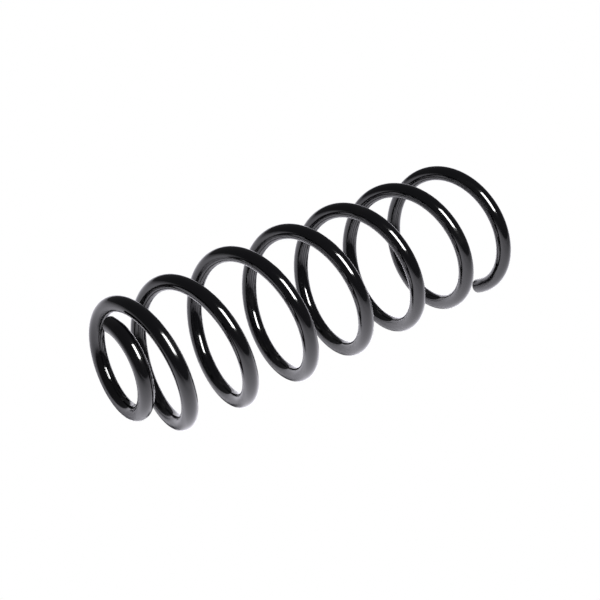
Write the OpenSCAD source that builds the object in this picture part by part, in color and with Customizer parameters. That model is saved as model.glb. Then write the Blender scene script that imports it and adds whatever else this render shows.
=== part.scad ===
// Strut coil spring: one round wire wound right-handed, with an open full-diameter
// coil at the bottom and a small, slightly offset pigtail coil at the top.
// The spring axis is +Z, and z = 0 is the lowest point of the wire, where it meets its
// lower seat. Angles are counted in turns along the wire from the cut lower end, on +X.
// Coils move against each other as the spring compresses, so the wire is divided into
// links of a quarter turn between its two end coils.

/* [Wire] */
// Diameter of the coated wire
wire_d = 12.5; // [9:0.5:14]
// Number of turns from one cut end to the other
turns = 7.46; // [6.46:0.25:8.46]

/* [Body coils] */
// Outside diameter of the body coils
coil_od = 125; // [115:1:150]
// Rise per turn in the body
coil_pitch = 58; // [45:1:64]

/* [Lower end] */
// Rise per turn at the cut lower end
lower_end_pitch = 37; // [20:1:45]
// Turns over which the rise grows to that of the body
lower_ramp_turns = 1.35; // [1:0.05:2]

/* [Upper end] */
// Rise per turn at the cut upper end
upper_end_pitch = 6; // [2:1:12]
// Turns over which the rise grows to that of the body
upper_ramp_turns = 2.15; // [1.65:0.05:2.4]
// Outside diameter of the pigtail coil
pigtail_od = 80; // [70:1:90]
// Turns of the pigtail that keep its small diameter
pigtail_turns = 0.3; // [0.2:0.05:0.35]
// Outside diameter of the shoulder, where the pigtail meets the body
shoulder_od = 112; // [105:1:114]
// Turns from the upper end to the shoulder
shoulder_turns = 0.85; // [0.75:0.05:0.95]
// Turns from the upper end to the full body diameter
full_turns = 3.05; // [2.45:0.1:3.45]
// How far the pigtail's centre stands off the spring axis, towards -X
pigtail_offset = 8; // [0:0.5:10]
// Turns over which that offset dies away
offset_turns = 1.45; // [0.95:0.1:1.95]

/* [Links] */
// Turns of wire that lie in the lower seat and move with it
lower_end_turns = 0.75; // [0.5:0.25:1]
// Clear gap between the cut faces of neighbouring links
link_gap = 0.2; // [0.1:0.05:0.4]

/* [Hidden] */
link_turns = 0.25;
upper_end_least_turns = 0.7;
links_per_turn = 1 / link_turns;
rings_per_link = 10;
section_sides = 16;
tangent_step = 0.0005;

wire_r = wire_d / 2;
body_r = (coil_od - wire_d) / 2;
pigtail_r = (pigtail_od - wire_d) / 2;
shoulder_r = (shoulder_od - wire_d) / 2;
half_gap_turns = link_gap / 2 / (2 * PI * body_r);

// Links between the two end coils, counted from the lower end
link_count = floor((turns - lower_end_turns - upper_end_least_turns) / link_turns + 0.01);
first_link = round(lower_end_turns * links_per_turn);
upper_end_start = lower_end_turns + link_count * link_turns;

function link_name(i) =
    let (place = first_link + i)
    str("coil_", floor(place / links_per_turn) + 1, "_quarter_", place % links_per_turn + 1);

LINKS = [for (i = [0 : link_count - 1]) link_name(i)];

// A smooth step from 0 to 1, and the area under it from 0 to x
function clamped(x) = min(max(x, 0), 1);
function smooth(x) = let (s = clamped(x)) s * s * (3 - 2 * s);
function smooth_area(x) = let (s = clamped(x)) s * s * s - s * s * s * s / 2 + max(x - 1, 0);

// Rise of the wire's centre line from the lower end to u turns along it
function lower_ramp_area(u) = u - lower_ramp_turns * smooth_area(u / lower_ramp_turns);
function upper_ramp_area(u) =
    u - upper_ramp_turns * (smooth_area(turns / upper_ramp_turns)
                            - smooth_area((turns - u) / upper_ramp_turns));
function rise(u) =
    coil_pitch * u
    - (coil_pitch - lower_end_pitch) * lower_ramp_area(u)
    - (coil_pitch - upper_end_pitch) * upper_ramp_area(u);

// Radius of the coil at u turns: pigtail, then shoulder, then body
function coil_radius(u) =
    let (t = turns - u)
    pigtail_r
    + (shoulder_r - pigtail_r) * smooth((t - pigtail_turns) / (shoulder_turns - pigtail_turns))
    + (body_r - shoulder_r) * smooth((t - shoulder_turns) / (full_turns - shoulder_turns));

function axis_shift(u) = pigtail_offset * (1 - smooth((turns - u) / offset_turns));

// Half height of the sloping wire at the lower end, so that its underside touches z = 0
lower_slope = lower_end_pitch / (2 * PI * body_r);
seat_height = wire_r * sqrt(1 + lower_slope * lower_slope);

// Distance of the wire from the spring axis: a circle about the coil's own shifted centre
function axis_distance(u) =
    let (across = axis_shift(u) * sin(360 * u))
    sqrt(coil_radius(u) * coil_radius(u) - across * across) - axis_shift(u) * cos(360 * u);

// The wire's centre line and its direction
function outward(u) = [cos(360 * u), sin(360 * u), 0];
function centre(u) = axis_distance(u) * outward(u) + [0, 0, seat_height + rise(u)];
function direction(u) =
    let (chord = centre(u + tangent_step) - centre(u - tangent_step))
    chord / norm(chord);

// Cut of the round wire by the upright plane through the spring axis: a slight oval
function section(u) =
    let (c = centre(u), along = direction(u), out = outward(u))
    [for (k = [0 : section_sides - 1])
        let (a = 360 * k / section_sides,
             spoke = cos(a) * out + [0, 0, sin(a)],
             lean = spoke * along)
        c + wire_r / sqrt(1 - lean * lean) * spoke];

// A length of wire from one turn to another, closed by a flat face at each end
module wire(from_turn, to_turn) {
    steps = max(2, round((to_turn - from_turn) / link_turns * rings_per_link));
    points = [for (i = [0 : steps])
        each section(from_turn + (to_turn - from_turn) * i / steps)];
    sides = [for (i = [0 : steps - 1], k = [0 : section_sides - 1])
        let (a = i * section_sides + k,
             b = i * section_sides + (k + 1) % section_sides)
        each [[a, a + section_sides, b], [b, a + section_sides, b + section_sides]]];
    first_face = [for (k = [0 : section_sides - 1]) k];
    last_face = [for (k = [section_sides - 1 : -1 : 0]) steps * section_sides + k];
    polyhedron(points = points, faces = concat([first_face], sides, [last_face]));
}

// Cut lower end, which butts against the stop in the seat, and the coil that lies in the seat
module lower_end_coil() {
    color([0.04, 0.04, 0.045])
        wire(0, lower_end_turns - half_gap_turns);
}

// One quarter turn of the working wire
module quarter_link(i) {
    start = lower_end_turns + i * link_turns;
    color([0.05, 0.05, 0.055])
        wire(start + half_gap_turns, start + link_turns - half_gap_turns);
}

// Shoulder, pigtail and cut upper end, which the upper seat presses on
module upper_end_coil() {
    color([0.04, 0.04, 0.045])
        wire(upper_end_start + half_gap_turns, turns);
}

lower_end_coil();
for (i = [0 : link_count - 1]) quarter_link(i);
upper_end_coil();
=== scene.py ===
# Coil spring of a car's front strut, coated gloss black, and the studio it stands in.
#
# The spring is one round wire. Its centre line follows a few simple rules: the rise per turn,
# the radius of the coil and the shift of the small pigtail coil at its top. A geometry node
# tree winds the wire by those rules, and each end is then finished as a cropped end.
# Lengths are in metres, and places along the wire are in turns from its cut lower end.

import logging
import math
from dataclasses import dataclass, field
from enum import Enum
from typing import Any, ClassVar

import bmesh
import bpy
import numpy as np
from mathutils import Matrix, Vector


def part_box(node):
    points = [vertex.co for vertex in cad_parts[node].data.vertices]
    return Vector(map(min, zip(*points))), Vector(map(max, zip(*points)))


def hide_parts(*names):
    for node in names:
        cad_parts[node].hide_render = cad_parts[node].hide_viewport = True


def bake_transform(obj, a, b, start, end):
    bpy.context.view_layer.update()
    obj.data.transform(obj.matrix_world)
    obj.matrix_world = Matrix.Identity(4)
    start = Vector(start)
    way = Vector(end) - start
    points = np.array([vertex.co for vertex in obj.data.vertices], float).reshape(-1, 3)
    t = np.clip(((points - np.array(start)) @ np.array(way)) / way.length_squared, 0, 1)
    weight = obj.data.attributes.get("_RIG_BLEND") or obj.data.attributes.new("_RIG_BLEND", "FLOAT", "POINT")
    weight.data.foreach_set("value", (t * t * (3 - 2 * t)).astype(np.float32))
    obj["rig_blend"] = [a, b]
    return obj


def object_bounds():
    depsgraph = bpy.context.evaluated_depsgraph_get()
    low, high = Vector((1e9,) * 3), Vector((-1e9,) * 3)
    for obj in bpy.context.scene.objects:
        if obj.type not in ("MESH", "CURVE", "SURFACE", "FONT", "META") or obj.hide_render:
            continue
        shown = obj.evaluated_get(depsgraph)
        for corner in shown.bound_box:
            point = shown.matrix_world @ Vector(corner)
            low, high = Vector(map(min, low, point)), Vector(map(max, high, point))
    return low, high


log = logging.getLogger("coil_spring")
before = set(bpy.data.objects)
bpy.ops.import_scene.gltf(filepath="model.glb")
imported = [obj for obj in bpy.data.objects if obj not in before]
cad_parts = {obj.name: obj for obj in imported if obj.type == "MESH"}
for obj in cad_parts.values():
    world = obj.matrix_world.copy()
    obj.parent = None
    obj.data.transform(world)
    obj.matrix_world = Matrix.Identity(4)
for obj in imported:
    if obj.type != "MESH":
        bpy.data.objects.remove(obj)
cad_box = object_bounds()

MM = 0.001
UP = Vector((0, 0, 1))
BLEND_LAYER = "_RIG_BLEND"


class End(Enum):
    """The two ends of the wire, by the CAD body that holds each."""

    LOWER = "lower_end_coil"
    UPPER = "upper_end_coil"


class Math(Enum):
    """The operations that an expression on node sockets uses."""

    ADD = "ADD"
    SUBTRACT = "SUBTRACT"
    MULTIPLY = "MULTIPLY"
    DIVIDE = "DIVIDE"
    POWER = "POWER"
    ROOT = "SQRT"
    SINE = "SINE"
    COSINE = "COSINE"
    GREATER_OF = "MAXIMUM"
    LESSER_OF = "MINIMUM"


class Term:
    """A number carried by a node socket, which can be added, multiplied and so on."""

    def __init__(self, bench: "Bench", socket: bpy.types.NodeSocket) -> None:
        """Wraps a socket.

        Args:
            bench: The bench whose tree the socket is in.
            socket: The output socket that carries the number.
        """
        self.bench = bench
        self.socket = socket

    def __add__(self, other: "Term | float") -> "Term":
        """Returns this number plus another."""
        return self.bench.maths(Math.ADD, self, other)

    def __radd__(self, other: float) -> "Term":
        """Returns another number plus this one."""
        return self.bench.maths(Math.ADD, other, self)

    def __sub__(self, other: "Term | float") -> "Term":
        """Returns this number less another."""
        return self.bench.maths(Math.SUBTRACT, self, other)

    def __rsub__(self, other: float) -> "Term":
        """Returns another number less this one."""
        return self.bench.maths(Math.SUBTRACT, other, self)

    def __mul__(self, other: "Term | float") -> "Term":
        """Returns this number times another."""
        return self.bench.maths(Math.MULTIPLY, self, other)

    def __rmul__(self, other: float) -> "Term":
        """Returns another number times this one."""
        return self.bench.maths(Math.MULTIPLY, other, self)

    def __truediv__(self, other: "Term | float") -> "Term":
        """Returns this number divided by another."""
        return self.bench.maths(Math.DIVIDE, self, other)

    def __pow__(self, other: "Term | float") -> "Term":
        """Returns this number to a power."""
        return self.bench.maths(Math.POWER, self, other)

    def limited(self) -> "Term":
        """Returns this number kept between 0 and 1."""
        return self.bench.maths(Math.LESSER_OF, self.at_least(0.0), 1.0)

    def at_least(self, low: "Term | float") -> "Term":
        """Returns the greater of this number and low."""
        return self.bench.maths(Math.GREATER_OF, self, low)


class Bench:
    """A node tree under construction."""

    NOISE_ROUGHNESS = 0.55
    # A Mix node has a set of sockets for each data type, and these are those for colours
    FIRST_COLOUR = 6
    SECOND_COLOUR = 7
    MIXED_COLOUR = 2

    def __init__(self, tree: bpy.types.NodeTree) -> None:
        """Starts on a tree.

        Args:
            tree: The shader or geometry node tree that nodes are added to.
        """
        self.tree = tree

    @classmethod
    def on_material(cls, name: str) -> tuple[bpy.types.Material, "Bench"]:
        """Makes a material that has no nodes yet.

        Args:
            name: Its name.

        Returns:
            The material, and a bench on its nodes.
        """
        material = bpy.data.materials.new(name)
        material.use_nodes = True
        material.node_tree.nodes.clear()
        return material, cls(material.node_tree)

    def node(
        self,
        kind: str,
        settings: dict[str, Any] | None = None,
        sockets: dict[str | int, Any] | None = None,
    ) -> bpy.types.Node:
        """Adds a node.

        Args:
            kind: The node's type.
            settings: Its own settings, such as a Math node's operation. They are set first.
            sockets: Values or links for its inputs, by name or number.

        Returns:
            The new node.
        """
        made = self.tree.nodes.new(kind)
        for name, value in (settings or {}).items():
            setattr(made, name, value)
        for key, value in (sockets or {}).items():
            if isinstance(value, Term):
                self.tree.links.new(value.socket, made.inputs[key])
            elif isinstance(value, bpy.types.NodeSocket):
                self.tree.links.new(value, made.inputs[key])
            else:
                made.inputs[key].default_value = value
        return made

    def term(
        self,
        kind: str,
        settings: dict[str, Any] | None = None,
        sockets: dict[str | int, Any] | None = None,
    ) -> Term:
        """Adds a node, as node() does, and returns its first output as a number."""
        return Term(self, self.node(kind, settings, sockets).outputs[0])

    def maths(self, operation: Math, *values: Term | float) -> Term:
        """Adds a Math node.

        Args:
            operation: What it does.
            *values: One or two numbers or sockets.

        Returns:
            Its result.
        """
        return self.term(
            "ShaderNodeMath", {"operation": operation.value}, dict(enumerate(values))
        )

    def smooth(self, value: Term, start: Term | float, end: Term | float) -> Term:
        """Adds a smooth step.

        Args:
            value: The number that it reads.
            start: Where the step starts.
            end: Where it ends.

        Returns:
            0 before start, 1 after end, and a smooth step between them.
        """
        return self.term(
            "ShaderNodeMapRange",
            {"interpolation_type": "SMOOTHSTEP"},
            {"Value": value, "From Min": start, "From Max": end, "To Min": 0.0, "To Max": 1.0},
        )

    def between(self, factor: Term | float, low: Term | float, high: Term | float) -> Term:
        """Returns a number that goes from low to high as factor goes from 0 to 1."""
        return low + (high - low) * factor

    def colours(
        self, factor: Term, first: tuple[float, ...], second: tuple[float, ...]
    ) -> bpy.types.NodeSocket:
        """Mixes two colours.

        Args:
            factor: How much of the second colour there is, from 0 to 1.
            first: The colour at 0.
            second: The colour at 1.

        Returns:
            The socket that carries the mixed colour.
        """
        mix = self.node(
            "ShaderNodeMix",
            {"data_type": "RGBA"},
            {"Factor": factor, self.FIRST_COLOUR: first, self.SECOND_COLOUR: second},
        )
        return mix.outputs[self.MIXED_COLOUR]

    def bump(self, height: Term) -> bpy.types.NodeSocket:
        """Adds a bump.

        Args:
            height: How far the surface stands out, in metres.

        Returns:
            The socket that carries the tilted normal.
        """
        return self.node(
            "ShaderNodeBump", {}, {"Strength": 1.0, "Distance": 1.0, "Height": height}
        ).outputs[0]

    def show(self, surface: bpy.types.Node) -> None:
        """Makes a shader node the surface of the tree's material."""
        self.node("ShaderNodeOutputMaterial", {}, {0: surface.outputs[0]})

    def noise(self, place: bpy.types.NodeSocket, size: float, detail: float) -> Term:
        """Adds a noise pattern.

        Args:
            place: The coordinates that it reads.
            size: The width of one lump, in metres.
            detail: How many finer layers it holds.

        Returns:
            Its value, around a half.
        """
        return self.term(
            "ShaderNodeTexNoise",
            {},
            {
                "Vector": place,
                "Scale": 1.0 / size,
                "Detail": detail,
                "Roughness": self.NOISE_ROUGHNESS,
            },
        )


@dataclass(frozen=True)
class Winding:
    """The rules that the wire's centre line follows, with the same values as the CAD part.

    Attributes:
        turns: Turns from one cut end to the other.
        wire_radius: The radius of the coated wire.
        body_radius: The radius of the body coils, like the next two to the wire's centre line.
        shoulder_radius: The radius where the pigtail meets the body.
        pigtail_radius: The radius of the pigtail coil.
        body_pitch: The rise per turn in the body.
        lower_end_pitch: The rise per turn at the lower end.
        upper_end_pitch: The rise per turn at the upper end.
        lower_ramp_turns: Turns over which the rise grows from the lower end's to the body's.
        upper_ramp_turns: Turns over which the rise grows from the upper end's to the body's.
        pigtail_turns: Turns of the pigtail that keep its small radius.
        shoulder_turns: Turns from the upper end to the shoulder.
        full_turns: Turns from the upper end to the full radius of the body.
        pigtail_offset: How far the pigtail's centre stands off the axis, towards -X.
        offset_turns: Turns over which that offset dies away.
        closed_pitch: The rise per turn at which the coils count as closed.
        seated_turns: Turns that lie still in the lower seat.
        lifting_turns: Turns over which the wire then comes free of the seat.
    """

    turns: float = 7.46
    wire_radius: float = 6.25 * MM
    body_radius: float = 56.25 * MM
    shoulder_radius: float = 49.75 * MM
    pigtail_radius: float = 33.75 * MM
    body_pitch: float = 58 * MM
    lower_end_pitch: float = 37 * MM
    upper_end_pitch: float = 6 * MM
    lower_ramp_turns: float = 1.35
    upper_ramp_turns: float = 2.15
    pigtail_turns: float = 0.3
    shoulder_turns: float = 0.85
    full_turns: float = 3.05
    pigtail_offset: float = 8 * MM
    offset_turns: float = 1.45
    closed_pitch: float = 14 * MM
    seated_turns: float = 0.5
    lifting_turns: float = 0.5

    @property
    def seat_height(self) -> float:
        """Height of the centre line at the lower end, where the wire's underside is at z = 0."""
        slope = self.lower_end_pitch / (2 * math.pi * self.body_radius)
        return self.wire_radius * math.hypot(1, slope)

    @staticmethod
    def _smooth(x: np.ndarray) -> np.ndarray:
        """Returns a smooth step from 0 to 1."""
        s = np.clip(x, 0, 1)
        return s * s * (3 - 2 * s)

    def place_of(self, end: End) -> float:
        """Returns the place of an end along the wire."""
        return 0.0 if end is End.LOWER else self.turns

    def pitch(self, turn: np.ndarray) -> np.ndarray:
        """Works out how steeply the wire climbs.

        Args:
            turn: Places along the wire, in turns from the lower end.

        Returns:
            The rise per turn at each place.
        """
        upper = 1 - self._smooth((self.turns - turn) / self.upper_ramp_turns)
        lower = 1 - self._smooth(turn / self.lower_ramp_turns)
        return (
            self.body_pitch
            - (self.body_pitch - self.upper_end_pitch) * upper
            - (self.body_pitch - self.lower_end_pitch) * lower
        )

    def share(self, turn: np.ndarray, steps: int = 4000) -> np.ndarray:
        """Works out how far each place moves as the spring closes.

        A coil gives way in step with the free gap beside it, and the lowest half turn lies
        still in its seat.

        Args:
            turn: Places along the wire, in turns from the lower end.
            steps: Steps of the running sum.

        Returns:
            The share of the upper end's travel, from 0 at the lower end to 1 at the upper.
        """
        grid = np.linspace(0, self.turns, steps)
        gap = np.clip(self.pitch(grid) - self.closed_pitch, 0, None)
        free = gap * self._smooth((grid - self.seated_turns) / self.lifting_turns)
        total = np.concatenate([[0], np.cumsum((free[1:] + free[:-1]) / 2)])
        return np.interp(turn, grid, total / total[-1])


class WindingTree:
    """The geometry node tree that winds a round wire by the rules of a Winding."""

    NAME = "wound_wire"
    # Attributes of the finished mesh: the place along the wire in turns, and the place of each
    # vertex on the wire when it is straight
    TURN = "turn"
    UNWOUND = "unwound"
    # Attributes that carry the two parts of the latter through the sweep
    LENGTH = "length"
    SECTION = "section"
    SIZES = (
        "turns",
        "wire_radius",
        "body_radius",
        "shoulder_radius",
        "pigtail_radius",
        "body_pitch",
        "lower_end_pitch",
        "upper_end_pitch",
        "lower_ramp_turns",
        "upper_ramp_turns",
        "pigtail_turns",
        "shoulder_turns",
        "full_turns",
        "pigtail_offset",
        "offset_turns",
        "seat_height",
        "stub_turns",
    )
    COUNTS = ("rings", "sides")

    def __init__(self) -> None:
        """Builds the tree."""
        self.tree = bpy.data.node_groups.new(self.NAME, "GeometryNodeTree")
        self.bench = Bench(self.tree)
        for name in self.SIZES:
            self._input(name, "NodeSocketFloat")
        for name in self.COUNTS:
            self._input(name, "NodeSocketInt")
        self._input("coat", "NodeSocketMaterial")
        self.tree.interface.new_socket("wire", in_out="OUTPUT", socket_type="NodeSocketGeometry")
        self.given = self.bench.node("NodeGroupInput")
        self._build()

    def _input(self, name: str, kind: str) -> None:
        """Adds a named input to the tree."""
        self.tree.interface.new_socket(name, in_out="INPUT", socket_type=kind)

    def _size(self, name: str) -> Term:
        """Returns a named size as a number."""
        return Term(self.bench, self.given.outputs[name])

    def _ramp_area(self, x: Term) -> Term:
        """Returns the area under a smooth step from 0 to x."""
        s = x.limited()
        return s**3.0 - s**4.0 / 2.0 + (x - 1.0).at_least(0.0)

    def _rise(self, turn: Term) -> Term:
        """Adds the rule for the wire's rise.

        Args:
            turn: The place along the wire, in turns from the lower end.

        Returns:
            How far the centre line has risen there.
        """
        lower = self._size("lower_ramp_turns")
        upper = self._size("upper_ramp_turns")
        turns = self._size("turns")
        body = self._size("body_pitch")
        lower_part = turn - lower * self._ramp_area(turn / lower)
        upper_part = turn - upper * (
            self._ramp_area(turns / upper) - self._ramp_area((turns - turn) / upper)
        )
        return (
            body * turn
            - (body - self._size("lower_end_pitch")) * lower_part
            - (body - self._size("upper_end_pitch")) * upper_part
        )

    def _coil_radius(self, from_top: Term) -> Term:
        """Adds the rule for the radius of the coil: pigtail, then shoulder, then body.

        Args:
            from_top: The place along the wire, in turns from the upper end.

        Returns:
            The radius there.
        """
        shoulder = self.bench.smooth(
            from_top, self._size("pigtail_turns"), self._size("shoulder_turns")
        )
        full = self.bench.smooth(
            from_top, self._size("shoulder_turns"), self._size("full_turns")
        )
        pigtail_radius = self._size("pigtail_radius")
        shoulder_radius = self._size("shoulder_radius")
        return (
            pigtail_radius
            + (shoulder_radius - pigtail_radius) * shoulder
            + (self._size("body_radius") - shoulder_radius) * full
        )

    def _centre(self, turn: Term) -> bpy.types.NodeSocket:
        """Adds the rule for the centre line: a circle about the coil's own shifted centre.

        Args:
            turn: The place along the wire, in turns from the lower end.

        Returns:
            The socket that carries the place of the centre line.
        """
        bench = self.bench
        from_top = self._size("turns") - turn
        angle = turn * math.tau
        cosine = bench.maths(Math.COSINE, angle)
        sine = bench.maths(Math.SINE, angle)
        offset = self._size("pigtail_offset")
        shift = offset - offset * bench.smooth(from_top, 0.0, self._size("offset_turns"))
        radius = self._coil_radius(from_top)
        across = shift * sine
        distance = bench.maths(Math.ROOT, radius * radius - across * across) - shift * cosine
        place = bench.node(
            "ShaderNodeCombineXYZ",
            {},
            {
                "X": distance * cosine,
                "Y": distance * sine,
                "Z": self._size("seat_height") + self._rise(turn),
            },
        )
        return place.outputs[0]

    def _build(self) -> None:
        """Lays a line of rings, bends it into the coil and sweeps the wire's section along it."""
        bench, given = self.bench, self.given.outputs
        line = bench.node("GeometryNodeCurvePrimitiveLine")
        rings = bench.node(
            "GeometryNodeResampleCurve", {}, {"Curve": line.outputs[0], "Count": given["rings"]}
        )
        index = bench.term("GeometryNodeInputIndex")
        fraction = index / (Term(bench, given["rings"]) - 1.0)
        stub = self._size("stub_turns")
        turn = stub + fraction * (self._size("turns") - stub * 2.0)
        marked = bench.node(
            "GeometryNodeStoreNamedAttribute",
            {"data_type": "FLOAT", "domain": "POINT"},
            {"Geometry": rings.outputs[0], "Name": self.TURN, "Value": turn},
        )
        wound = bench.node(
            "GeometryNodeSetPosition",
            {},
            {"Geometry": marked.outputs[0], "Position": self._centre(turn)},
        )
        upright = bench.node(
            "GeometryNodeSetCurveNormal", {"mode": "Z_UP"}, {"Curve": wound.outputs[0]}
        )
        length = bench.node("GeometryNodeSplineParameter")
        measured = bench.node(
            "GeometryNodeStoreNamedAttribute",
            {"data_type": "FLOAT", "domain": "POINT"},
            {
                "Geometry": upright.outputs[0],
                "Name": self.LENGTH,
                "Value": length.outputs["Length"],
            },
        )
        circle = bench.node(
            "GeometryNodeCurvePrimitiveCircle",
            {"mode": "RADIUS"},
            {"Resolution": given["sides"], "Radius": given["wire_radius"]},
        )
        place = bench.node("GeometryNodeInputPosition")
        section = bench.node(
            "GeometryNodeStoreNamedAttribute",
            {"data_type": "FLOAT_VECTOR", "domain": "POINT"},
            {"Geometry": circle.outputs[0], "Name": self.SECTION, "Value": place.outputs[0]},
        )
        swept = bench.node(
            "GeometryNodeCurveToMesh",
            {},
            {"Curve": measured.outputs[0], "Profile Curve": section.outputs[0]},
        )
        around = bench.node(
            "GeometryNodeInputNamedAttribute",
            {"data_type": "FLOAT_VECTOR"},
            {"Name": self.SECTION},
        )
        parts = bench.node("ShaderNodeSeparateXYZ", {}, {0: around.outputs[0]})
        along = bench.node(
            "GeometryNodeInputNamedAttribute", {"data_type": "FLOAT"}, {"Name": self.LENGTH}
        )
        straight = bench.node(
            "ShaderNodeCombineXYZ",
            {},
            {"X": along.outputs[0], "Y": parts.outputs[0], "Z": parts.outputs[1]},
        )
        unwound = bench.node(
            "GeometryNodeStoreNamedAttribute",
            {"data_type": "FLOAT_VECTOR", "domain": "POINT"},
            {"Geometry": swept.outputs[0], "Name": self.UNWOUND, "Value": straight.outputs[0]},
        )
        smooth = bench.node("GeometryNodeSetShadeSmooth", {}, {0: unwound.outputs[0]})
        real = bench.node("GeometryNodeRealizeInstances", {}, {0: smooth.outputs[0]})
        dressed = bench.node(
            "GeometryNodeSetMaterial", {}, {"Geometry": real.outputs[0], "Material": given["coat"]}
        )
        bench.node("NodeGroupOutput", {}, {0: dressed.outputs[0]})

    def make(self, values: dict[str, Any]) -> bpy.types.Mesh:
        """Runs the tree once.

        Args:
            values: A value for each named input.

        Returns:
            Its result as a plain mesh.
        """
        holder = bpy.data.objects.new(self.NAME, bpy.data.meshes.new(self.NAME))
        bpy.context.scene.collection.objects.link(holder)
        modifier = holder.modifiers.new(self.NAME, "NODES")
        modifier.node_group = self.tree
        for socket in self.tree.interface.items_tree:
            if socket.in_out == "INPUT":
                modifier[socket.identifier] = values[socket.name]
        graph = bpy.context.evaluated_depsgraph_get()
        mesh = bpy.data.meshes.new_from_object(holder.evaluated_get(graph))
        bpy.data.objects.remove(holder)
        return mesh


@dataclass(frozen=True)
class BlackCoat:
    """Gloss black powder coat: a deep black film with a faint orange peel and handling haze.

    Attributes:
        name: The material's name.
        colour: The colour of the clean film.
        dusty: Its colour where dust and handling have dulled it.
        roughness: The roughness of the clean film.
        hazy_roughness: Its roughness where it is dulled.
        refraction: Its index of refraction.
        peel_size: The width of one wave of the orange peel.
        peel_depth: The height of those waves.
        grit_size: The width of one grain of grit in the film.
        grit_depth: The height of those grains.
        haze_size: The width of a dulled patch.
        haze_start: The value of the haze's noise at which dulling starts.
        haze_full: The value at which it is full.
        mottle_size: The width of a fleck within a dulled patch.
    """

    name: str = "gloss_black_coat"
    colour: tuple[float, float, float, float] = (0.0006, 0.0006, 0.0008, 1.0)
    dusty: tuple[float, float, float, float] = (0.0024, 0.0023, 0.0023, 1.0)
    roughness: float = 0.085
    hazy_roughness: float = 0.2
    refraction: float = 1.5
    peel_size: float = 3.2 * MM
    peel_depth: float = 0.003 * MM
    grit_size: float = 0.5 * MM
    grit_depth: float = 0.0006 * MM
    haze_size: float = 24 * MM
    haze_start: float = 0.5
    haze_full: float = 0.78
    mottle_size: float = 4.8 * MM

    def build(self) -> bpy.types.Material:
        """Makes the finish.

        Returns:
            The material, which reads the wire's own unwound coordinates.
        """
        material, bench = Bench.on_material(self.name)
        place = bench.node(
            "ShaderNodeAttribute", {"attribute_name": WindingTree.UNWOUND}
        ).outputs["Vector"]
        cloud = bench.noise(place, self.haze_size, detail=4.0)
        haze = bench.smooth(cloud, self.haze_start, self.haze_full)
        mottle = bench.noise(place, self.mottle_size, detail=3.0)
        peel = bench.noise(place, self.peel_size, detail=1.0)
        grit = bench.noise(place, self.grit_size, detail=2.0)
        surface = bench.node(
            "ShaderNodeBsdfPrincipled",
            {},
            {
                "Base Color": bench.colours((haze * mottle).limited(), self.colour, self.dusty),
                "Roughness": bench.between(haze, self.roughness, self.hazy_roughness),
                "IOR": self.refraction,
                "Normal": bench.bump(peel * self.peel_depth + grit * self.grit_depth),
            },
        )
        bench.show(surface)
        return material


@dataclass(frozen=True)
class CroppedFace:
    """Sheared end of the wire under a thin, uneven coat: duller, with drag lines across it.

    Attributes:
        name: The material's name.
        colour: The colour of the coat.
        thin: Its colour where it hardly covers the steel.
        roughness: The roughness where the shear has left the face smooth.
        torn_roughness: The roughness where it has torn it.
        line_size: The width of a drag line.
        line_depth: The depth of those lines.
        line_squeeze: The scale of the lines' coordinates, which draws the lines out along Z.
        torn_size: The width of a torn lump.
        torn_depth: The depth of those lumps.
        bare_start: The value of the tearing at which the coat thins.
        bare_full: The value at which it is thinnest.
    """

    name: str = "cropped_end_face"
    colour: tuple[float, float, float, float] = (0.006, 0.006, 0.0065, 1.0)
    thin: tuple[float, float, float, float] = (0.03, 0.028, 0.027, 1.0)
    roughness: float = 0.24
    torn_roughness: float = 0.5
    line_size: float = 0.45 * MM
    line_depth: float = 0.05 * MM
    line_squeeze: tuple[float, float, float] = (1.0, 1.0, 0.12)
    torn_size: float = 1.1 * MM
    torn_depth: float = 0.12 * MM
    bare_start: float = 0.52
    bare_full: float = 0.7

    def build(self) -> bpy.types.Material:
        """Makes the finish.

        Returns:
            The material, which reads the piece's object coordinates.
        """
        material, bench = Bench.on_material(self.name)
        place = bench.node("ShaderNodeTexCoord").outputs["Object"]
        torn = bench.noise(place, self.torn_size, detail=4.0)
        squeezed = bench.node(
            "ShaderNodeMapping", {}, {"Vector": place, "Scale": self.line_squeeze}
        ).outputs[0]
        lines = bench.noise(squeezed, self.line_size, detail=2.0)
        bare = bench.smooth(torn, self.bare_start, self.bare_full)
        surface = bench.node(
            "ShaderNodeBsdfPrincipled",
            {},
            {
                "Base Color": bench.colours(bare, self.colour, self.thin),
                "Roughness": bench.between(torn, self.roughness, self.torn_roughness),
                "Normal": bench.bump(torn * self.torn_depth + lines * self.line_depth),
            },
        )
        bench.show(surface)
        return material


@dataclass(frozen=True)
class EndRing:
    """One ring of a cropped end.

    Attributes:
        advance: How far on it lies from the last wound ring.
        width: Its width, as a share of the wire's.
        tilt: How much of the cut's lean it has, from 0 to 1.
        on_face: Whether the band that leads to it is part of the cut itself.
    """

    advance: float
    width: float
    tilt: float
    on_face: bool = False


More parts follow.
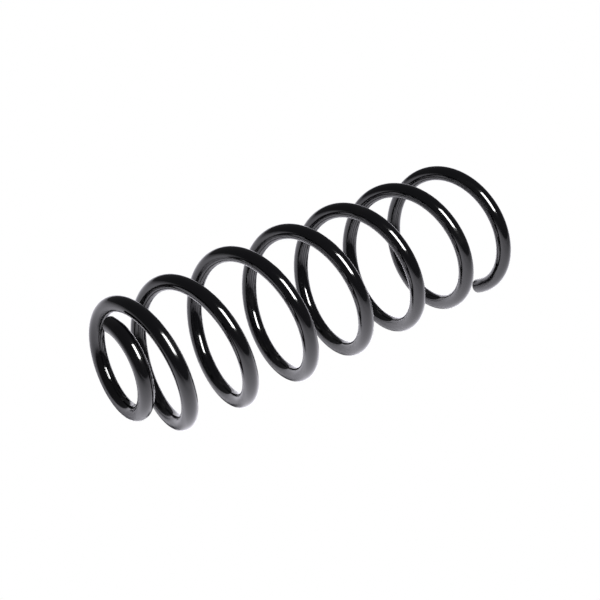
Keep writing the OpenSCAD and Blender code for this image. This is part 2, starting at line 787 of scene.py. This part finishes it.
@dataclass(frozen=True)
class CroppedEnd:
    """How one end of the wire is cropped off.

    Angles go round the wire from its outer side, towards the side that faces up.

    Attributes:
        end: Which end it is.
        lean: How far the cut falls back on one side and stands forward on the other.
        lean_angle: The side that falls back.
        flare: How much the shear has spread the edge, as a share of the radius.
        flare_angle: The side that is spread.
        rounding: The radius of the edge.
        dish: How deep the middle of the face is.
        edge_steps: Rings round the edge's rounding.
        face_rings: Rings across the face.
        stub_rings: Rings on the stub: how far along it, and how much of the lean they have.
        flare_focus: How sharply the spread keeps to its side.
        search_turns: How near the end its open edge is looked for.
    """

    FACE_SLOT: ClassVar[int] = 1

    end: End
    lean: float
    lean_angle: float
    flare: float
    flare_angle: float
    rounding: float = 0.55 * MM
    dish: float = 0.25 * MM
    edge_steps: int = 4
    face_rings: int = 5
    stub_rings: tuple[tuple[float, float], ...] = ((0.4, 0.3), (0.7, 0.75))
    flare_focus: int = 3
    search_turns: float = 0.25

    def close(self, shape: bmesh.types.BMesh, stub: float, turn: float) -> int:
        """Carries the open end of the wire on to its cut and closes it.

        Args:
            shape: The wire's mesh, with its unfinished end open.
            stub: The length of wire that is still missing.
            turn: The place of the cut end, in turns.

        Returns:
            The number of faces of the cut itself.
        """
        turns = shape.verts.layers.float[WindingTree.TURN]
        unwound = shape.verts.layers.float_vector[WindingTree.UNWOUND]
        ring = self._open_ring(shape, turns, turn)
        centre = sum((v.co for v in ring), Vector()) / len(ring)
        inner = [self._inner_neighbour(v, ring) for v in ring]
        inner_centre = sum((v.co for v in inner), Vector()) / len(inner)
        ahead = (centre - inner_centre).normalized()
        step = (centre - inner_centre).length
        outward = Vector((centre.x, centre.y, 0)).normalized()
        outward = (outward - ahead * outward.dot(ahead)).normalized()
        upward = ahead.cross(outward)
        upward = upward if upward.z > 0 else -upward
        spokes = [v.co - centre for v in ring]
        radius = spokes[0].length
        angles = [math.atan2(s.dot(upward), s.dot(outward)) for s in spokes]
        growth = (ring[0][unwound].x - inner[0][unwound].x) / step
        last = ring
        cut = 0
        for row in self._profile(stub, radius):
            fresh = []
            for old, spoke, angle in zip(ring, spokes, angles):
                leaning = row.tilt * self.lean * math.cos(angle - self.lean_angle) * row.width
                spread = max(0.0, math.cos(angle - self.flare_angle)) ** self.flare_focus
                flare = 1 + self.flare * row.tilt * spread
                forward = row.advance - leaning
                vert = shape.verts.new(centre + spoke * row.width * flare + ahead * forward)
                vert[turns] = turn
                base = old[unwound]
                vert[unwound] = (base.x + forward * growth, base.y * row.width, base.z * row.width)
                fresh.append(vert)
            cut += self._band(shape, last, fresh, row.on_face)
            last = fresh
        tip = shape.verts.new(centre + ahead * (stub - self.dish))
        tip[turns] = turn
        tip[unwound] = last[0][unwound]
        for a, b in zip(last, last[1:] + last[:1]):
            face = shape.faces.new((a, b, tip))
            face.smooth = True
            face.material_index = self.FACE_SLOT
            cut += 1
        return cut

    def _profile(self, stub: float, radius: float) -> list[EndRing]:
        """Lays out the end, along the stub, round the edge and in across the face.

        Args:
            stub: The length of wire that is still missing.
            radius: The wire's radius.

        Returns:
            The rings, in order, apart from the point at the middle of the face.
        """
        rows = [EndRing(stub * along, 1.0, tilt) for along, tilt in self.stub_rings]
        rows.append(EndRing(stub - self.rounding, 1.0, 1.0))
        narrowing = self.rounding / radius
        for k in range(1, self.edge_steps + 1):
            angle = math.pi / 2 * k / self.edge_steps
            advance = stub - self.rounding * (1 - math.sin(angle))
            rows.append(EndRing(advance, 1 - narrowing * (1 - math.cos(angle)), 1.0))
        for k in range(1, self.face_rings):
            inward = k / self.face_rings
            width = (1 - narrowing) * (1 - inward)
            rows.append(EndRing(stub - self.dish * inward, width, 1.0, on_face=True))
        return rows

    def _open_ring(
        self, shape: bmesh.types.BMesh, turns: bmesh.types.BMLayerItem, turn: float
    ) -> list[bmesh.types.BMVert]:
        """Finds the open edge of the wire at one of its ends.

        Args:
            shape: The wire's mesh.
            turns: The layer that holds each vertex's place along the wire.
            turn: The place of the end.

        Returns:
            The edge's vertices, in order round it.
        """
        edges = [
            e
            for e in shape.edges
            if e.is_boundary and all(abs(v[turns] - turn) < self.search_turns for v in e.verts)
        ]
        links: dict[bmesh.types.BMVert, list[bmesh.types.BMVert]] = {}
        for edge in edges:
            a, b = edge.verts
            links.setdefault(a, []).append(b)
            links.setdefault(b, []).append(a)
        first = next(iter(links))
        ring, before, here = [first], None, first
        while True:
            onward = next(v for v in links[here] if v is not before)
            if onward is first:
                return ring
            ring.append(onward)
            before, here = here, onward

    @staticmethod
    def _inner_neighbour(
        vert: bmesh.types.BMVert, ring: list[bmesh.types.BMVert]
    ) -> bmesh.types.BMVert:
        """Finds a vertex's neighbour on the next ring in from the open edge.

        Args:
            vert: A vertex of the open edge.
            ring: All the vertices of the open edge.

        Returns:
            The neighbour.
        """
        at_edge = set(ring)
        others = (e.other_vert(vert) for e in vert.link_edges)
        return next(v for v in others if v not in at_edge)

    @classmethod
    def _band(
        cls,
        shape: bmesh.types.BMesh,
        outer: list[bmesh.types.BMVert],
        inner: list[bmesh.types.BMVert],
        on_face: bool,
    ) -> int:
        """Joins two rings with a band of faces.

        Args:
            shape: The mesh.
            outer: The vertices of the first ring.
            inner: The vertices of the second, in the same order.
            on_face: Whether the band is part of the cut itself.

        Returns:
            How many of its faces are part of the cut.
        """
        for k in range(len(outer)):
            after = (k + 1) % len(outer)
            face = shape.faces.new((outer[k], outer[after], inner[after], inner[k]))
            face.smooth = True
            face.material_index = cls.FACE_SLOT if on_face else 0
        return len(outer) if on_face else 0


@dataclass
class SpringWire:
    """The spring itself: one wire from its lower end to its upper end.

    Attributes:
        name: The piece's name.
        winding: The rules of its centre line.
        coat: The finish of the wire.
        face: The finish of its cut ends.
        ring_spacing: The length of wire between two rings of vertices.
        sides: The vertices of a ring.
        stub: The length at each end that is shaped with the cut.
        slot: The record's material slot; not used.
        upper: How the upper end is cropped.
        lower: How the lower end is cropped.
    """

    name: str = "coil_spring_wire"
    winding: Winding = field(default_factory=Winding)
    coat: BlackCoat = field(default_factory=BlackCoat)
    face: CroppedFace = field(default_factory=CroppedFace)
    ring_spacing: float = 2.0 * MM
    sides: int = 48
    stub: float = 3.0 * MM
    slot: str = "coated_wire"
    upper: CroppedEnd = CroppedEnd(
        End.UPPER,
        lean=0.9 * MM,
        lean_angle=math.radians(200),
        flare=0.0,
        flare_angle=0.0,
        rounding=2.0 * MM,
    )
    lower: CroppedEnd = CroppedEnd(
        End.LOWER,
        lean=0.4 * MM,
        lean_angle=math.radians(90),
        flare=0.05,
        flare_angle=math.radians(-60),
    )

    def build(self) -> bpy.types.Object:
        """Winds the wire and finishes its ends.

        Returns:
            The wire, as one closed piece.
        """
        mesh = self._wound()
        mesh.materials.append(self.face.build())
        shape = bmesh.new()
        shape.from_mesh(mesh)
        cut = 0
        for cropped in (self.lower, self.upper):
            cut += cropped.close(shape, self.stub, self.winding.place_of(cropped.end))
        bmesh.ops.recalc_face_normals(shape, faces=shape.faces)
        if shape.calc_volume(signed=True) < 0:
            bmesh.ops.reverse_faces(shape, faces=shape.faces)
        shape.to_mesh(mesh)
        shape.free()
        piece = bpy.data.objects.new(self.name, mesh)
        bpy.context.scene.collection.objects.link(piece)
        log.info("%s: %d faces, %d of them on its cut ends", self.name, len(mesh.polygons), cut)
        return piece

    def _wound(self) -> bpy.types.Mesh:
        """Winds the wire, short of a stub at each end.

        Returns:
            Its mesh, open at both ends.
        """
        winding = self.winding
        around = math.tau * winding.body_radius
        values = {name: getattr(winding, name, None) for name in WindingTree.SIZES}
        values["stub_turns"] = self.stub / around
        values["rings"] = round(winding.turns * around / self.ring_spacing)
        values["sides"] = self.sides
        values["coat"] = self.coat.build()
        mesh = WindingTree().make(values)
        mesh.name = self.name
        return mesh

    def mount(self, piece: bpy.types.Object) -> None:
        """Makes the wire stand for the CAD links and stretch between the two end coils.

        The blend's own shares go by height alone. They are replaced by those of the winding,
        which the CAD links follow too.

        Args:
            piece: The wire.
        """
        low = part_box(End.LOWER.value)[0]
        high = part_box(End.UPPER.value)[1]
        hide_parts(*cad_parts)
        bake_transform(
            piece, End.LOWER.value, End.UPPER.value, start=(0, 0, low.z), end=(0, 0, high.z)
        )
        turns = np.zeros(len(piece.data.vertices), np.float32)
        piece.data.attributes[WindingTree.TURN].data.foreach_get("value", turns)
        shares = self.winding.share(turns.astype(float)).astype(np.float32)
        piece.data.attributes[BLEND_LAYER].data.foreach_set("value", shares)
        log.info("%s follows %d CAD links", piece.name, len(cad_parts))


@dataclass(frozen=True)
class Stretch:
    """A number that grows smoothly along a sheet.

    Attributes:
        start: Where it begins to grow from 0.
        end: Where it reaches its most.
        most: Its most.
    """

    start: float
    end: float
    most: float

    def at(self, bench: Bench, place: Term) -> Term:
        """Returns the number at a place along the sheet."""
        return bench.smooth(place, self.start, self.end) * self.most


@dataclass
class Studio:
    """A white floor under the spring, a white card beside it, one soft box and a dim room.

    Attributes:
        card_bearing: The way the card faces, from +X towards +Y.
        card_gap: The clear gap between the card and the spring.
        card_size: The card's side.
        card_tint: Its colour.
        card_painted_shade: The colour of the painted shade that it falls off to.
        near_painted_shade: Painted shade, how its colour darkens towards the soft box.
        top_painted_shade: Painted shade, how its colour darkens towards its top.
        near_glow: How it glows far out on the soft box's side.
        far_glow: How it glows on the other side.
        box_height: How far the soft box stands off the spring's axis, the way the card faces.
        box_reach: How far it stands to the side of the axis, along the card.
        box_level: The height above z = 0 of the soft box and of the card's middle.
        box_width: The soft box's size along the spring.
        box_depth: Its size across the spring.
        box_brightness: Its radiance.
        room: The colour of everything else that the coat reflects.
        floor_size: The floor's side.
        floor_gap: The clear gap between the floor and the spring.
        white: The floor and the surroundings as the camera sees them.
    """

    card_bearing: float = math.radians(147.09)
    card_gap: float = 0.5 * MM
    card_size: float = 4.0
    card_tint: tuple[float, float, float, float] = (0.90, 0.885, 0.955, 1.0)
    card_painted_shade: tuple[float, float, float, float] = (0.0, 0.0, 0.0, 1.0)
    near_painted_shade: Stretch = Stretch(start=0.0, end=0.3, most=0.48)
    top_painted_shade: Stretch = Stretch(start=0.18, end=0.7, most=0.75)
    near_glow: Stretch = Stretch(start=0.45, end=0.9, most=0.8)
    far_glow: Stretch = Stretch(start=0.05, end=0.35, most=0.5)
    box_height: float = 0.593
    box_reach: float = 0.415
    box_level: float = 0.2206
    box_width: float = 0.30
    box_depth: float = 0.40
    box_brightness: float = 46.0
    room: tuple[float, float, float, float] = (0.12, 0.12, 0.13, 1.0)
    floor_size: float = 30.0
    floor_gap: float = 0.2 * MM
    white: tuple[float, float, float, float] = (1.0, 1.0, 1.0, 1.0)

    def build(self) -> None:
        """Sets up the floor, the card, the soft box and the room."""
        self._floor()
        self._card()
        self._soft_box()
        self._room()

    @property
    def _card_front(self) -> Vector:
        """The level direction in which the card faces."""
        return Vector((math.cos(self.card_bearing), math.sin(self.card_bearing), 0))

    @property
    def _away(self) -> Vector:
        """The level direction along the card, away from the soft box."""
        return UP.cross(self._card_front)

    def _sheet(self, name: str, size: float) -> tuple[bpy.types.Object, Bench]:
        """Makes a flat square that isn't part of the object.

        Args:
            name: Its name.
            size: Its side.

        Returns:
            The square, and a bench on the nodes of its material, which has none yet.
        """
        half = size / 2
        mesh = bpy.data.meshes.new(name)
        corners = [(-half, -half, 0), (half, -half, 0), (half, half, 0), (-half, half, 0)]
        mesh.from_pydata(corners, [], [(0, 1, 2, 3)])
        material, bench = Bench.on_material(name)
        mesh.materials.append(material)
        sheet = bpy.data.objects.new(name, mesh)
        bpy.context.scene.collection.objects.link(sheet)
        return sheet, bench

    def _floor(self) -> None:
        """Lays the pale floor, lit from within so that it takes no shadow."""
        floor, bench = self._sheet("floor", self.floor_size)
        bench.show(bench.node("ShaderNodeEmission", {}, {"Color": self.white, "Strength": 1.0}))
        floor.location.z = cad_box[0].z - self.floor_gap
        floor.visible_glossy = False
        floor.visible_diffuse = False
        floor.visible_shadow = False

    def _card(self) -> None:
        """Stands the white card along the side of the spring."""
        card, bench = self._sheet("white_card", self.card_size)
        bench.show(self._card_surface(bench))
        radius = (cad_box[1].x - cad_box[0].x) / 2 + self.card_gap
        turned = Matrix((self._away, UP, self._card_front)).transposed()
        card.rotation_mode = "QUATERNION"
        card.rotation_quaternion = turned.to_quaternion()
        card.location = UP * self.box_level - self._card_front * radius
        card.visible_camera = False

    def _card_surface(self, bench: Bench) -> bpy.types.Node:
        """Paints shade into the card's colour, darker to one side and above, and lights it far from the
        spring.

        Args:
            bench: A bench on the card's nodes.

        Returns:
            The node of its finished shader.
        """
        place = bench.node("ShaderNodeTexCoord").outputs["Object"]
        parts = bench.node("ShaderNodeSeparateXYZ", {}, {0: place})
        away = Term(bench, parts.outputs[0])
        height = Term(bench, parts.outputs[1])
        near = away * -1.0
        # Painted shade: white is the share of the card's full colour, which falls off towards the soft box
        # and towards its top
        white = (1.0 - self.near_painted_shade.at(bench, near)) * (1.0 - self.top_painted_shade.at(bench, height))
        matt = bench.node(
            "ShaderNodeBsdfDiffuse",
            {},
            {"Color": bench.colours(white, self.card_painted_shade, self.card_tint)},
        )
        glow = self.near_glow.at(bench, near) + self.far_glow.at(bench, away)
        glowing = bench.node("ShaderNodeEmission", {}, {"Color": self.card_tint, "Strength": glow})
        return bench.node("ShaderNodeAddShader", {}, {0: matt.outputs[0], 1: glowing.outputs[0]})

    def _soft_box(self) -> None:
        """Hangs the one soft box that lights the spring and the card."""
        light = bpy.data.lights.new("soft_box", "AREA")
        light.shape = "RECTANGLE"
        light.size = self.box_width
        light.size_y = self.box_depth
        # An area lamp's watts are its radiance times its area times pi
        light.energy = self.box_brightness * math.pi * self.box_width * self.box_depth
        lamp = bpy.data.objects.new("soft_box", light)
        bpy.context.scene.collection.objects.link(lamp)
        place = self._card_front * self.box_height - self._away * self.box_reach
        forward = -place.normalized()
        turned = Matrix((UP, forward.cross(UP), -forward)).transposed()
        moved = Matrix.Translation(place + UP * self.box_level)
        lamp.matrix_world = moved @ turned.to_4x4()
        lamp.visible_camera = False

    def _room(self) -> None:
        """Makes the surroundings white to look at and dim to be reflected."""
        world = bpy.data.worlds.new("room")
        world.use_nodes = True
        world.node_tree.nodes.clear()
        bench = Bench(world.node_tree)
        seen = bench.node("ShaderNodeLightPath").outputs["Is Camera Ray"]
        dim = bench.node("ShaderNodeBackground", {}, {"Color": self.room, "Strength": 1.0})
        pale = bench.node("ShaderNodeBackground", {}, {"Color": self.white, "Strength": 1.0})
        both = bench.node(
            "ShaderNodeMixShader", {}, {0: seen, 1: dim.outputs[0], 2: pale.outputs[0]}
        )
        bench.node("ShaderNodeOutputWorld", {}, {0: both.outputs[0]})
        bpy.context.scene.world = world
        bpy.context.scene.view_settings.view_transform = "Standard"


@dataclass
class Viewpoint:
    """Where the camera stands: above the spring, rolled so that the spring lies across its view.

    Attributes:
        heading: The level direction of its line of sight, from +Y towards +X.
        dip: How far below level it looks.
        turn: How far it is rolled about its line of sight.
        distance: How far behind the aim it stands, along its line of sight.
        aside: How far to the right of its line of sight the aim is.
        above: How far above its line of sight the aim is.
        lens: The focal length of its lens, in millimetres.
        shift_x: The sideways shift of its lens.
        shift_y: The upward shift of its lens.
        sight_level: The height of the aim, a point on the spring's axis.
    """

    heading: float = math.radians(170.442)
    dip: float = math.radians(29.542)
    turn: float = math.radians(-113.273)
    distance: float = 868.6 * MM
    aside: float = 67.41 * MM
    above: float = 17.26 * MM
    lens: float = 63.18
    shift_x: float = 0.1225
    shift_y: float = 0.025
    sight_level: float = 187.74 * MM

    def build(self) -> None:
        """Sets the scene's camera."""
        forward = Vector(
            (
                math.sin(self.heading) * math.cos(self.dip),
                math.cos(self.heading) * math.cos(self.dip),
                -math.sin(self.dip),
            )
        )
        level = forward.cross(UP).normalized()
        steep = level.cross(forward)
        right = level * math.cos(self.turn) + steep * math.sin(self.turn)
        upward = right.cross(forward)
        aim = UP * self.sight_level
        place = aim - forward * self.distance - right * self.aside - upward * self.above
        camera = bpy.data.objects.new("camera", bpy.data.cameras.new("camera"))
        camera.data.lens = self.lens
        camera.data.shift_x = self.shift_x
        camera.data.shift_y = self.shift_y
        turned = Matrix((right, upward, -forward)).transposed()
        camera.matrix_world = Matrix.Translation(place) @ turned.to_4x4()
        bpy.context.scene.collection.objects.link(camera)
        bpy.context.scene.camera = camera


def main() -> None:
    """Builds the spring and its studio."""
    logging.basicConfig(level=logging.INFO, format="%(name)s: %(message)s")
    Viewpoint().build()
    wire = SpringWire()
    wire.mount(wire.build())
    Studio().build()


if __name__ == "__main__":
    main()
